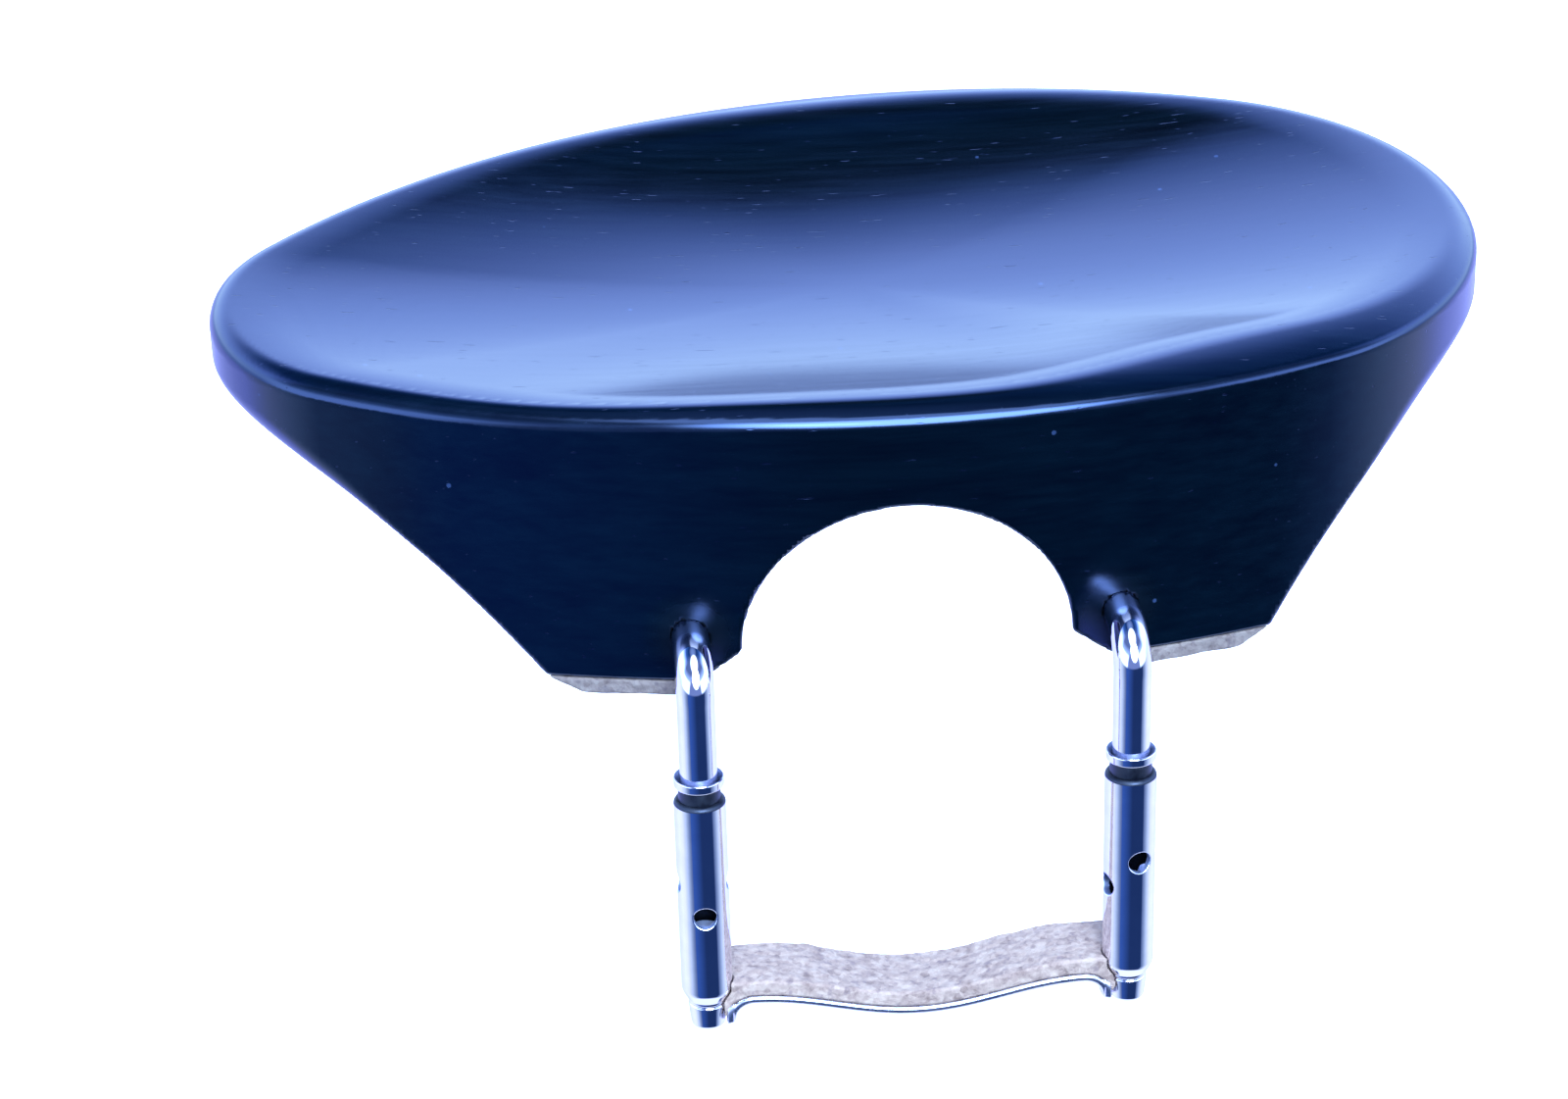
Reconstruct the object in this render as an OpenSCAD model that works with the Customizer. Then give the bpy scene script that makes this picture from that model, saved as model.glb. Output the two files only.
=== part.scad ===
// Centre-mounted chin rest for a violin, as an assembly of separate pieces.
// Origin: midway between the two barrels, at the violin's outline edge just behind
// them, on the plane of the foot corks' undersides.
// +X to the player's right, +Y over the violin's top, +Z up.

/* [Plate seen from above] */
// Radius of the long front edge
front_r = 118; // [112:1:126]
// Where the front edge comes furthest forward, along X
front_x = -1.3; // [-3:0.1:0]
// Depth of the front edge at that place, behind the violin's outline
front_y = 1.3; // [1:0.1:2]
// Radius of the left end
left_end_r = 18.6; // [17:0.1:21]
// How far round the front edge the left end starts, in degrees
left_end_turn = 25.9; // [24:0.1:27]
// Radius of the right end
right_end_r = 30.9; // [28:0.1:32]
// How far round the front edge the right end starts, in degrees
right_end_turn = 20.6; // [18:0.1:22]
// Radius of the back edge
back_r = 87.4; // [84:0.1:95]

/* [Rim and dish] */
// Height of the rim's outer edge at the front
rim_z = 26.9; // [25:0.1:30]
// Slope of the rim, rising towards the back, in degrees
rim_tilt = 6; // [4:0.5:8]
// Width of the rim from the wall to its crest
rim_w = 5.2; // [4:0.1:7]
// Rise of the rim's crest above its outer edge
rim_rise = 1.5; // [1:0.1:2]
// How far the rim's rounding starts below its outer edge
rim_drop = 1.2; // [0.6:0.1:2]
// Depth of the dish below the rim's crest
dish_depth = 5.5; // [4:0.5:9]

/* [Underside and feet] */
// Thickness of the foot corks, which is also the height of the wood above the violin
foot_cork_t = 1.5; // [1:0.1:3]
// Outer end of the left foot, from the middle
left_foot_x = 33.3; // [31:0.1:35]
// Outer end of the right foot, from the middle
right_foot_x = 35; // [32:0.1:37]
// Inner end of both feet, from the middle, at the front edge
foot_inner_x = 19; // [18.5:0.1:20]
// Back of both feet
foot_back_y = 19; // [16:0.5:22]
// Rise of the left flank from its foot to its tip
left_flank_rise = 22.9; // [21:0.1:24]
// Rise of the right flank from its foot to its tip
right_flank_rise = 22.5; // [21:0.1:24]
// Rise of the underside from the feet to the back edge
back_rise = 26.9; // [24:0.1:28]
// Half width of the arch over the tailpiece
arch_half_w = 15.1; // [14:0.1:15.5]
// Height at which the arch starts
arch_start_z = 4.5; // [4:0.1:6]
// Height of the arch's crown
arch_crown_z = 18.5; // [16:0.1:19]
// Widening of the arch's half width for each millimetre behind the front edge
arch_draft = 0.17; // [0.1:0.01:0.2]
// How far the foot corks' outer ends are bevelled
foot_cork_bevel = 3; // [1:0.5:4]

/* [Clamp] */
// Distance between the two barrels
barrel_spacing = 40; // [38:0.5:41]
// Diameter of the hooks and studs
rod_d = 3.5; // [3.2:0.1:3.6]
// Height of the hooks' arms
arm_z = 6.1; // [5.5:0.1:7]
// Radius of the hooks' bend, on the rod's centre line
bend_r = 3.5; // [3:0.1:4]
// Depth of the hooks' holes behind the front edge
hole_depth = 10; // [8:0.5:12]
// Top of the collars
collar_top_z = -5.1; // [-6.5:0.1:-5]
// Diameter of the collars' rings
collar_d = 4.7; // [4.6:0.1:4.8]
// Diameter of the barrels
barrel_d = 4.85; // [4.8:0.05:5]
// Length of the barrels, with their cones and without their collars
barrel_l = 21.2; // [21:0.1:23]
// Diameter of the key holes
key_hole_d = 2.15; // [2:0.05:2.3]
// Lower end of the studs
stud_bottom_z = -31.7; // [-32.5:0.1:-31]

/* [Bracket] */
// Height of the bracket plate's top at its two high places
bracket_top_z = -28.35; // [-28.6:0.05:-28]
// How far the bracket plate sags between them
bracket_sag = 2.3; // [1:0.1:3]
// Thickness of the bracket plate
bracket_t = 0.85; // [0.7:0.05:1.2]
// Front edge of the bracket plate
bracket_front_y = -4.5; // [-4.6:0.1:-4]
// Back edge of the bracket plate
bracket_back_y = 3.2; // [3:0.1:6]
// Thickness of the bracket's cork
bracket_cork_t = 1.6; // [1:0.1:2]

/* [Hidden] */
$fn = 64;
WOOD = [0.06, 0.07, 0.16];
CORK = [0.72, 0.64, 0.66];
CHROME = [0.82, 0.86, 0.94];
LEFT = -1;
RIGHT = 1;
beyond = 60;               // reach of a cut that passes right through

// Centres of the plate's four arcs: each end touches the front and the back from inside
front_c = [front_x, front_y + front_r];
left_c = front_c + (front_r - left_end_r) * [-sin(left_end_turn), -cos(left_end_turn)];
right_c = front_c + (front_r - right_end_r) * [sin(right_end_turn), -cos(right_end_turn)];
ends_apart = norm(right_c - left_c);
along = (right_c - left_c) / ends_apart;
left_reach = back_r - left_end_r;
right_reach = back_r - right_end_r;
back_along = (left_reach ^ 2 - right_reach ^ 2 + ends_apart ^ 2) / (2 * ends_apart);
back_down = sqrt(left_reach ^ 2 - back_along ^ 2);
back_c = left_c + back_along * along + back_down * [along[1], -along[0]];
right_back_turn = atan2(right_c[1] - back_c[1], right_c[0] - back_c[0]);
left_back_turn = atan2(left_c[1] - back_c[1], left_c[0] - back_c[0]);
back_y = back_c[1] + back_r;
plate_c = [front_x, (front_y + back_y) / 2];
left_tip_x = left_end_r - left_c[0];
right_tip_x = right_c[0] + right_end_r;

// How full each sweep of the underside is: 0 is straight, 1 ends level
left_flank_bulge = 0.6;
right_flank_bulge = 0.9;
back_bulge = 0.95;
sweep_steps = 14;
rim_steps = 6;
dish_steps = 10;

// Clamp
rod_r = rod_d / 2;
thread_gap = 0.05;         // radial running clearance in the barrels
bore_r = rod_r + thread_gap;
barrel_x = barrel_spacing / 2;
barrel_y = -3;
ring_h = 1;
neck_h = 1.3;
neck_r = 2.05;
barrel_top_z = collar_top_z - ring_h - neck_h;
barrel_bottom_z = barrel_top_z - barrel_l;
cone_h = 1.5;
cone_r = rod_r + 0.15;
upper_key_z = -16.05;
lower_key_z = -19;
hook_margin = 0.2;         // from the hooks' lower ends to the upper key holes
stud_margin = 1.2;         // from the studs' upper ends to the lower key holes
hook_end_z = upper_key_z + key_hole_d / 2 + hook_margin;
stud_end_z = lower_key_z - key_hole_d / 2 - stud_margin;
left_key_turn = 0;         // lower key hole of the left barrel, from straight ahead
right_key_turn = -74;      // lower key hole of the right barrel

// Bracket
high_x = 15.7;             // where the bracket plate is highest
flange_r = 2.6;            // bend at the bracket plate's ends

// Points of an arc about a centre, without its last point
function arc(c, r, from, to, n) =
    [for (i = [0:n - 1]) c + r * [cos(from + (to - from) * i / n), sin(from + (to - from) * i / n)]];

// The plate's outline, moved inwards by a distance
function outline(inset) = concat(
    arc(front_c, front_r - inset, -90 - left_end_turn, -90 + right_end_turn, 22),
    arc(right_c, right_end_r - inset, -90 + right_end_turn, right_back_turn, 18),
    arc(back_c, back_r - inset, right_back_turn, left_back_turn, 20),
    arc(left_c, left_end_r - inset, left_back_turn, 270 - left_end_turn, 14)
);
function shrunk(points, s) = [for (p = points) plate_c + s * (p - plate_c)];
function raised(points, heights) = [for (i = [0:len(points) - 1]) concat(points[i], heights[i])];

function rim_at(p) = rim_z + tan(rim_tilt) * (p[1] - front_y);

// Rings of the plate, from the foot of its wall round to the middle of its dish
function wall_ring(z) = let (q = outline(0)) raised(q, [for (p = q) z]);
function rim_ring(a) = let (q = outline(rim_w * (1 - cos(a))))
    raised(q, [for (p = q) rim_at(p) - rim_drop + (rim_rise + rim_drop) * sin(a)]);
function dish_ring(s) = let (q = shrunk(outline(rim_w), s))
    raised(q, [for (p = q) rim_at(p) + rim_rise - dish_depth * (1 - s ^ 2)]);

// One closed skin through rings with equal counts of points, with a point at each end
module skin(first, rings, last) {
    n = len(rings[0]);
    m = len(rings);
    end = m * n + 1;
    points = concat([first], [for (ring = rings) each ring], [last]);
    faces = concat(
        [for (i = [0:n - 1]) [0, 1 + i, 1 + (i + 1) % n]],
        [for (k = [0:m - 2], i = [0:n - 1]) [1 + k * n + i, 1 + (k + 1) * n + i, 1 + k * n + (i + 1) % n]],
        [for (k = [0:m - 2], i = [0:n - 1])
            [1 + k * n + (i + 1) % n, 1 + (k + 1) * n + i, 1 + (k + 1) * n + (i + 1) % n]],
        [for (i = [0:n - 1]) [end, 1 + (m - 1) * n + (i + 1) % n, 1 + (m - 1) * n + i]]
    );
    polyhedron(points, faces, convexity = 6);
}

// The plate before its underside is carved: a flat bottom, the wall, the rim and the dish
module plate_blank() {
    rings = concat(
        [wall_ring(foot_cork_t)],
        [for (k = [0:rim_steps]) rim_ring(90 * k / rim_steps)],
        [for (k = [dish_steps - 1:-1:1]) dish_ring(k / dish_steps)]
    );
    skin(
        [plate_c[0], plate_c[1], foot_cork_t],
        rings,
        [plate_c[0], plate_c[1], rim_at(plate_c) + rim_rise - dish_depth]
    );
}

// What is carved away below a sweep that climbs from a foot's edge to the plate's tip
module sweep_profile(foot, tip, rise, bulge) {
    function climb(t) = t * (1 + bulge * (1 - t));
    polygon(concat(
        [for (i = [0:sweep_steps]) let (t = i / sweep_steps)
            [foot + (tip - foot) * t, foot_cork_t + rise * climb(t)]],
        [[tip + beyond, foot_cork_t + rise], [tip + beyond, -1], [foot - foot_cork_t, -1]]
    ));
}

module flank_cut(side, foot, tip, rise, bulge) {
    translate([0, beyond * 2, 0])
        rotate([90, 0, 0])
            linear_extrude(beyond * 3)
                mirror([side < 0 ? 1 : 0, 0])
                    sweep_profile(foot, tip, rise, bulge);
}

module back_cut() {
    translate([-beyond * 2, 0, 0])
        rotate([90, 0, 90])
            linear_extrude(beyond * 4)
                sweep_profile(foot_back_y, back_y, back_rise, back_bulge);
}

// Opening for the tailpiece: a half ellipse on splayed feet
module arch_profile() {
    steps = 32;
    polygon(concat(
        [for (i = [0:steps]) [
            arch_half_w * cos(180 * i / steps),
            arch_start_z + (arch_crown_z - arch_start_z) * sin(180 * i / steps)
        ]],
        [[-foot_inner_x, foot_cork_t], [-foot_inner_x, -1], [foot_inner_x, -1], [foot_inner_x, foot_cork_t]]
    ));
}

// How many times wider the arch is at a distance behind the front edge
function arch_widening(y) = 1 + arch_draft * (y - front_y) / arch_half_w;

module arch_cut() {
    lead = 6;              // start in front of the plate
    translate([0, front_y - lead, 0])
        rotate([90, 0, 0])
            mirror([0, 0, 1])
                linear_extrude(
                    beyond,
                    slices = 1,
                    scale = [arch_widening(front_y - lead + beyond) / arch_widening(front_y - lead), 1]
                )
                    scale([arch_widening(front_y - lead), 1])
                        arch_profile();
}

module arm_hole(side) {
    translate([side * barrel_x, barrel_y, arm_z])
        rotate([-90, 0, 0])
            cylinder(r = bore_r, h = hole_depth + front_y - barrel_y);
}

module chin_plate() {
    color(WOOD)
        difference() {
            plate_blank();
            flank_cut(LEFT, left_foot_x, left_tip_x, left_flank_rise, left_flank_bulge);
            flank_cut(RIGHT, right_foot_x, right_tip_x, right_flank_rise, right_flank_bulge);
            back_cut();
            arch_cut();
            for (side = [LEFT, RIGHT]) arm_hole(side);
        }
}

// Front edge of the plate at a distance from the middle
function front_edge(x) = front_c[1] - sqrt(front_r ^ 2 - (x - front_c[0]) ^ 2);

module foot_cork(side, outer_x) {
    steps = 8;
    inner_x = foot_inner_x * arch_widening(front_edge(side * foot_inner_x));
    back_x = foot_inner_x * arch_widening(foot_back_y);
    color(CORK)
        difference() {
            linear_extrude(foot_cork_t)
                polygon(concat(
                    [for (i = [0:steps])
                        let (x = side * (inner_x + (outer_x - inner_x) * i / steps)) [x, front_edge(x)]],
                    [[side * outer_x, foot_back_y], [side * back_x, foot_back_y]]
                ));
            translate([0, beyond, 0])
                rotate([90, 0, 0])
                    linear_extrude(beyond * 2)
                        polygon([
                            [side * outer_x, foot_cork_t],
                            [side * (outer_x - foot_cork_bevel), 0],
                            [side * (outer_x - foot_cork_bevel), -1],
                            [side * (outer_x + 1), -1],
                            [side * (outer_x + 1), foot_cork_t]
                        ]);
        }
}

module foot_cork_left() { foot_cork(LEFT, left_foot_x); }
module foot_cork_right() { foot_cork(RIGHT, right_foot_x); }

// One rod: an arm into the plate, a bend, and a threaded tail down into the barrel
module hook(side) {
    color(CHROME)
        translate([side * barrel_x, barrel_y, 0]) {
            translate([0, bend_r, arm_z])
                rotate([-90, 0, 0])
                    cylinder(r = rod_r, h = hole_depth + front_y - barrel_y - bend_r - 1);
            translate([0, bend_r, arm_z - bend_r])
                rotate([0, 0, 90])
                    rotate([90, 0, 0])
                        rotate([0, 0, 90])
                            rotate_extrude(angle = 90)
                                translate([bend_r, 0])
                                    circle(r = rod_r);
            translate([0, 0, hook_end_z])
                cylinder(r = rod_r, h = arm_z - bend_r - hook_end_z);
        }
}

module hook_left() { hook(LEFT); }
module hook_right() { hook(RIGHT); }

// The collar: a ring with a flared mouth on a narrower neck
module barrel_collar(side) {
    mouth_r = collar_d / 2 - 0.15;
    color(CHROME)
        translate([side * barrel_x, barrel_y, 0])
            rotate_extrude()
                polygon([
                    [bore_r, barrel_top_z],
                    [neck_r, barrel_top_z],
                    [neck_r, collar_top_z - ring_h],
                    [collar_d / 2, collar_top_z - ring_h],
                    [collar_d / 2, collar_top_z],
                    [mouth_r, collar_top_z],
                    [bore_r, collar_top_z - ring_h]
                ]);
}

module barrel_collar_left() { barrel_collar(LEFT); }
module barrel_collar_right() { barrel_collar(RIGHT); }

module key_hole(z, turn) {
    translate([0, 0, z])
        rotate([0, 0, turn])
            rotate([90, 0, 0])
                cylinder(d = key_hole_d, h = 2 * barrel_d, center = true);
}

// A turnbuckle: bored right through, with two crossing holes for the key
module barrel(side, key_turn) {
    edge = 0.3;
    color(CHROME)
        translate([side * barrel_x, barrel_y, 0])
            difference() {
                rotate_extrude()
                    polygon([
                        [bore_r, barrel_top_z],
                        [barrel_d / 2 - edge, barrel_top_z],
                        [barrel_d / 2, barrel_top_z - edge],
                        [barrel_d / 2, barrel_bottom_z + cone_h],
                        [cone_r + 0.05, barrel_bottom_z],
                        [bore_r, barrel_bottom_z]
                    ]);
                key_hole(lower_key_z, key_turn);
                key_hole(upper_key_z, key_turn + 90);
            }
}

module barrel_left() { barrel(LEFT, left_key_turn); }
module barrel_right() { barrel(RIGHT, right_key_turn); }

// Top surface of the bracket plate moved down by a distance, from left to right
function bow_at(x) = bracket_top_z - bracket_sag * (1 + cos(180 * x / high_x)) / 2;
function strip(down, reach) =
    let (bow_steps = 24, end_steps = 6, r = flange_r - down)
    concat(
        [for (i = [0:end_steps - 1]) let (a = reach * (1 - i / end_steps))
            [-high_x - r * sin(a), bracket_top_z - flange_r + r * cos(a)]],
        [for (i = [0:bow_steps]) let (x = high_x * (2 * i / bow_steps - 1)) [x, bow_at(x) - down]],
        [for (i = [1:end_steps]) let (a = reach * i / end_steps)
            [high_x + r * sin(a), bracket_top_z - flange_r + r * cos(a)]]
    );
function reversed(list) = [for (i = [len(list) - 1:-1:0]) list[i]];

module strip_solid(top, bottom, reach) {
    translate([0, bracket_back_y, 0])
        rotate([90, 0, 0])
            linear_extrude(bracket_back_y - bracket_front_y)
                polygon(concat(strip(top, reach), reversed(strip(bottom, reach))));
}

module at_studs() {
    for (side = [LEFT, RIGHT]) translate([side * barrel_x, barrel_y, -beyond]) children();
}

module bracket_plate() {
    color(CHROME)
        difference() {
            strip_solid(0, bracket_t, 90);
            at_studs() cylinder(r = rod_r, h = beyond);
        }
}

// A stud brazed to the bracket, threaded up into the barrel
module bracket_stud(side) {
    edge = 0.3;
    color(CHROME)
        translate([side * barrel_x, barrel_y, 0])
            rotate_extrude()
                polygon([
                    [0, stud_bottom_z],
                    [rod_r - edge, stud_bottom_z],
                    [rod_r, stud_bottom_z + edge],
                    [rod_r, stud_end_z],
                    [0, stud_end_z]
                ]);
}

module bracket_stud_left() { bracket_stud(LEFT); }
module bracket_stud_right() { bracket_stud(RIGHT); }

module bracket_cork() {
    barrel_gap = 0.35;
    color(CORK)
        difference() {
            strip_solid(-bracket_cork_t, 0, 50);
            at_studs() cylinder(d = barrel_d + 2 * barrel_gap, h = beyond);
        }
}

chin_plate();
foot_cork_left();
foot_cork_right();
hook_left();
hook_right();
barrel_collar_left();
barrel_collar_right();
barrel_left();
barrel_right();
bracket_plate();
bracket_stud_left();
bracket_stud_right();
bracket_cork();
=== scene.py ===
"""The chin rest's looks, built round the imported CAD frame.

Shapes are distance functions in millimetres, in the part's own frame: a function gives how far each
point lies outside its piece. One mesher turns them into smooth meshes, which ride on the CAD bodies.
"""
import math

import bpy
import numpy as np
from mathutils import Matrix, Vector


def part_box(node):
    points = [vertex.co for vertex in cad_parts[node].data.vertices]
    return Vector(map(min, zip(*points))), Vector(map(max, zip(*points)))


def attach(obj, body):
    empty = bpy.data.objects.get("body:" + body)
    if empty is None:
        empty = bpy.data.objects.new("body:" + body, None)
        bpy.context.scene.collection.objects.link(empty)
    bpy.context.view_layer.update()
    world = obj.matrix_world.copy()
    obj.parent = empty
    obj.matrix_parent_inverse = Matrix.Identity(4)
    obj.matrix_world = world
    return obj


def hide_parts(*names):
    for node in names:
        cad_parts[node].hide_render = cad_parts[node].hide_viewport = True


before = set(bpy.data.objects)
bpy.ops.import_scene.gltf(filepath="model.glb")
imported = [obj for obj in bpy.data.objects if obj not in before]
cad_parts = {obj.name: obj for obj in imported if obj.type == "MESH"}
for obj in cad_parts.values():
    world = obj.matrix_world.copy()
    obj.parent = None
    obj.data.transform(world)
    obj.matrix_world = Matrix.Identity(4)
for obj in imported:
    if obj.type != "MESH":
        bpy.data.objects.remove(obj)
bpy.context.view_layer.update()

MM = 0.001
SIDES = {"left": -1, "right": 1}


def box_mm(node):
    """Lowest and highest corner of a CAD node at rest, in millimetres."""
    low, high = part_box(node)
    return np.array(low) / MM, np.array(high) / MM


# ---------------------------------------------------------------- sizes

# The plate's outline from above: four arcs that run into each other
FRONT_R = 118.0
FRONT_X = -1.3
FRONT_Y = 1.3
LEFT_R = 18.6
LEFT_TURN = 25.9
RIGHT_R = 30.9
RIGHT_TURN = 20.6
BACK_R = 87.4

# The rim and the dish
RIM_Z = 26.9
RIM_TILT = 6.0
CREST_RISE = 1.5
RIM_FALL = 1.2
RIM_EDGE_ROUND = 0.6
CREST_BLEND = 0.8
DISH_DEPTH = 5.5
# Turns a height above the sloping top into a distance from it
TOP_STEEPNESS = 0.85

# Where the rim is wider and its crest lower: by how much, in which direction and how far round, in degrees
RIM_LEAST_W = 2.2
RIM_WIDER = ((1.3, -90, 35), (4.2, -36, 26), (2.8, 90, 50))
CREST_LOWER = ((0.55, -70, 60), (1.0, -143, 22))

# The underside: feet, flanks, back and arch
FOOT_X = {"left": 33.3, "right": 35.0}
FLANK_RISE = {"left": 22.9, "right": 22.5}
FLANK_BULGE = {"left": 0.6, "right": 0.9}
FOOT_BACK_Y = 19.0
BACK_RISE = 26.9
BACK_BULGE = 0.95
ARCH_HALF_W = 15.1
ARCH_START_Z = 4.5
ARCH_CROWN_Z = 18.5
ARCH_DRAFT = 0.17
ARCH_CHAMFER_H = 3.0
ARCH_CHAMFER_ROUND = 0.25
ARCH_EDGE_ROUND = 0.4
FLANK_ROUND = 0.35
BACK_BLEND = 1.5
SWEEP_PAST_ENDS = (-0.4, 1.1)
UNDER_EDGE_ROUND = 0.5
UNDER_EDGE_GROWTH = 1.6
UNDER_EDGE_Z = (14, 24)
FOOT_INNER_X = 19.0
FOOT_CORK_T = box_mm("foot_cork_left")[1][2]
FOOT_CORK_BEVEL = 3.0

# The clamp: its CAD nodes give the outer sizes, and the finer ones are named here
BARREL_LOW, BARREL_HIGH = box_mm("barrel_right")
BARREL_X = (BARREL_LOW[0] + BARREL_HIGH[0]) / 2
BARREL_Y = (BARREL_LOW[1] + BARREL_HIGH[1]) / 2
BARREL_R = (BARREL_HIGH[0] - BARREL_LOW[0]) / 2
BARREL_BOTTOM = BARREL_LOW[2]
BARREL_TOP = BARREL_HIGH[2]
COLLAR_LOW, COLLAR_HIGH = box_mm("barrel_collar_right")
COLLAR_R = (COLLAR_HIGH[0] - COLLAR_LOW[0]) / 2
COLLAR_TOP = COLLAR_HIGH[2]
HOOK_LOW, HOOK_HIGH = box_mm("hook_right")
ROD_R = (HOOK_HIGH[0] - HOOK_LOW[0]) / 2
ARM_Z = HOOK_HIGH[2] - ROD_R
HOOK_END = HOOK_LOW[2]
ARM_END = HOOK_HIGH[1]
STUD_LOW, STUD_HIGH = box_mm("bracket_stud_right")
BEND_R = 3.5
HOLE_SQUEEZE = 0.06
HOLE_PAST_ARM = 1.0
BORE_R = 1.8
NECK_R = 1.98
RING_H = 0.95
MOUTH_H = 0.85
MOUTH_R = 2.22
CONE_H = 1.0
CONE_R = 1.95
KEY_HOLE_R = 1.075
LOWER_KEY_Z = -19.0
UPPER_KEY_Z = -16.05
KEY_TURN = {"left": 0.0, "right": -74.0}
HOOK_END_ROUND = 0.4
COLLAR_EDGE_ROUND = 0.2
COLLAR_ROOT_BLEND = 0.15
BARREL_TOP_ROUND = 0.45
BARREL_FOOT_ROUND = 0.12
KEY_HOLE_ROUND = 0.14
STUD_END_ROUND = 0.5
FINE_EDGE_ROUND = 0.06
# Faces this close to a bore take its material
WALL_SLACK = 0.04
PITCH = 0.6
THREAD_DEPTH = 0.3
FOOT_R = 1.86
FOOT_TAPER = 0.26
STUD_GROOVE = 0.12
STUD_GROOVE_DROP = 0.45
STUD_GROOVE_W = 0.12
FOOT_TAPER_DROP = 0.6

# The bracket
PLATE_LOW, PLATE_HIGH = box_mm("bracket_plate")
BRACKET_TOP = PLATE_HIGH[2]
CLAMP_CORK_END = box_mm("bracket_cork")[1][0]
BRACKET_FRONT = PLATE_LOW[1]
BRACKET_BACK = PLATE_HIGH[1]
BRACKET_SAG = 2.3
BRACKET_T = 0.85
BRACKET_CORK_T = 1.6
HIGH_X = 15.7
FLANGE_R = 2.6
FLANGE_BEND = 88
CORK_BEND = 80
BRACKET_EDGE_ROUND = 0.38
CORK_EDGE_ROUND = 0.3
BRAZE_BLEND = 2.0
BRAZE_REACH = 1.2

# The spacing of each mesh's points
PLATE_STEP = 0.45
CORK_STEP = 0.16
HOOK_STEP = 0.11
COLLAR_STEP = 0.05
BARREL_STEP = 0.08
STUD_STEP = 0.1
BRACKET_STEP = 0.15


# ---------------------------------------------------------------- distance functions

def round_cut(a, b, radius):
    """What two shapes share, with the edge where they meet rounded."""
    return np.minimum(np.maximum(a, b), -radius) + np.hypot(
        np.maximum(a + radius, 0), np.maximum(b + radius, 0))


def smooth_min(a, b, blend):
    """The lower of two heights, blended where they cross."""
    mix = np.clip(0.5 + 0.5 * (b - a) / blend, 0, 1)
    return b + (a - b) * mix - blend * mix * (1 - mix)


def smooth_max(a, b, blend):
    """The higher of two heights, blended where they cross."""
    return -smooth_min(-a, -b, blend)


def smooth_step(low, high, value):
    """0 at low and 1 at high, with a soft change between them."""
    t = np.clip((value - low) / (high - low), 0, 1)
    return t * t * (3 - 2 * t)


def lattice_noise(points, size, seed):
    """Smooth noise from -1 to 1 with features of about the given size."""
    repeat = 32
    table = np.random.RandomState(seed).uniform(-1, 1, (repeat, repeat, repeat))
    scaled = points / size
    cell = np.floor(scaled).astype(int)
    part = scaled - cell
    part = part * part * (3 - 2 * part)
    total = np.zeros(len(points))
    for corner in np.ndindex(2, 2, 2):
        weight = np.prod(np.where(corner, part, 1 - part), axis=1)
        total += weight * table[tuple(((cell + corner) % repeat).T)]
    return total


# ---------------------------------------------------------------- mesher

def grid_values(distance, low, step, counts, coarse=4):
    """Distances on a grid. Points far from the surface keep the distance of a point near them."""
    batch = 400000
    close = 2.2 * coarse * step

    def at(index):
        return distance(low + step * index)

    rough_counts = -(-counts // coarse)
    rough_index = np.stack(np.meshgrid(*[np.arange(n) * coarse for n in rough_counts], indexing="ij"), -1)
    rough = at(rough_index.reshape(-1, 3)).reshape(rough_counts)
    field = rough
    for axis in range(3):
        field = np.repeat(field, coarse, axis=axis)
    field = field[:counts[0], :counts[1], :counts[2]].copy()
    near = np.argwhere(np.abs(field) < close)
    for chunk in np.array_split(near, max(1, len(near) // batch)):
        field[tuple(chunk.T)] = at(chunk)
    return field


def surface_net(field, low, step):
    """Points and quads where a field changes sign, one point in each cell that the surface crosses."""
    inside = field < 0
    cells = np.array(field.shape) - 1
    corners = [np.array(c) for c in np.ndindex(2, 2, 2)]

    def corner_values(grid, corner):
        i, j, k = corner
        return grid[i:i + cells[0], j:j + cells[1], k:k + cells[2]]

    filled = sum(corner_values(inside, c).astype(np.int8) for c in corners)
    index = np.argwhere((filled > 0) & (filled < 8))
    number = np.full(cells, -1)
    number[tuple(index.T)] = np.arange(len(index))
    total = np.zeros((len(index), 3))
    crossings = np.zeros(len(index))
    for start in corners:
        for axis in range(3):
            if start[axis]:
                continue
            end = start.copy()
            end[axis] = 1
            a = field[tuple((index + start).T)]
            b = field[tuple((index + end).T)]
            crossed = (a < 0) != (b < 0)
            t = np.where(crossed, a / np.where(crossed, a - b, 1), 0)
            total += np.where(crossed[:, None], start + t[:, None] * (end - start), 0)
            crossings += crossed
    points = low + step * (index + total / crossings[:, None])

    quads = []
    for a in range(3):
        b, c = (a + 1) % 3, (a + 2) % 3
        first = np.take(inside, range(cells[a]), axis=a)
        second = np.take(inside, range(1, cells[a] + 1), axis=a)
        edge = np.argwhere(first != second)
        edge = edge[(edge[:, b] > 0) & (edge[:, c] > 0) & (edge[:, b] < cells[b]) & (edge[:, c] < cells[c])]
        ring = []
        for back_b, back_c in ((1, 1), (0, 1), (0, 0), (1, 0)):
            cell = edge.copy()
            cell[:, b] -= back_b
            cell[:, c] -= back_c
            ring.append(number[tuple(cell.T)])
        ring = np.stack(ring, 1)
        leaving = first[tuple(edge.T)]
        quads += [ring[leaving], ring[~leaving][:, ::-1]]
    return points, np.concatenate(quads)


def slope_of(distance, points, reach=0.01):
    """The direction in which the distance grows, and how fast."""
    slope = np.stack([
        distance(points + reach * axis) - distance(points - reach * axis) for axis in np.eye(3)
    ], 1) / (2 * reach)
    return slope, np.maximum(np.linalg.norm(slope, axis=1), 0.2)


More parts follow.
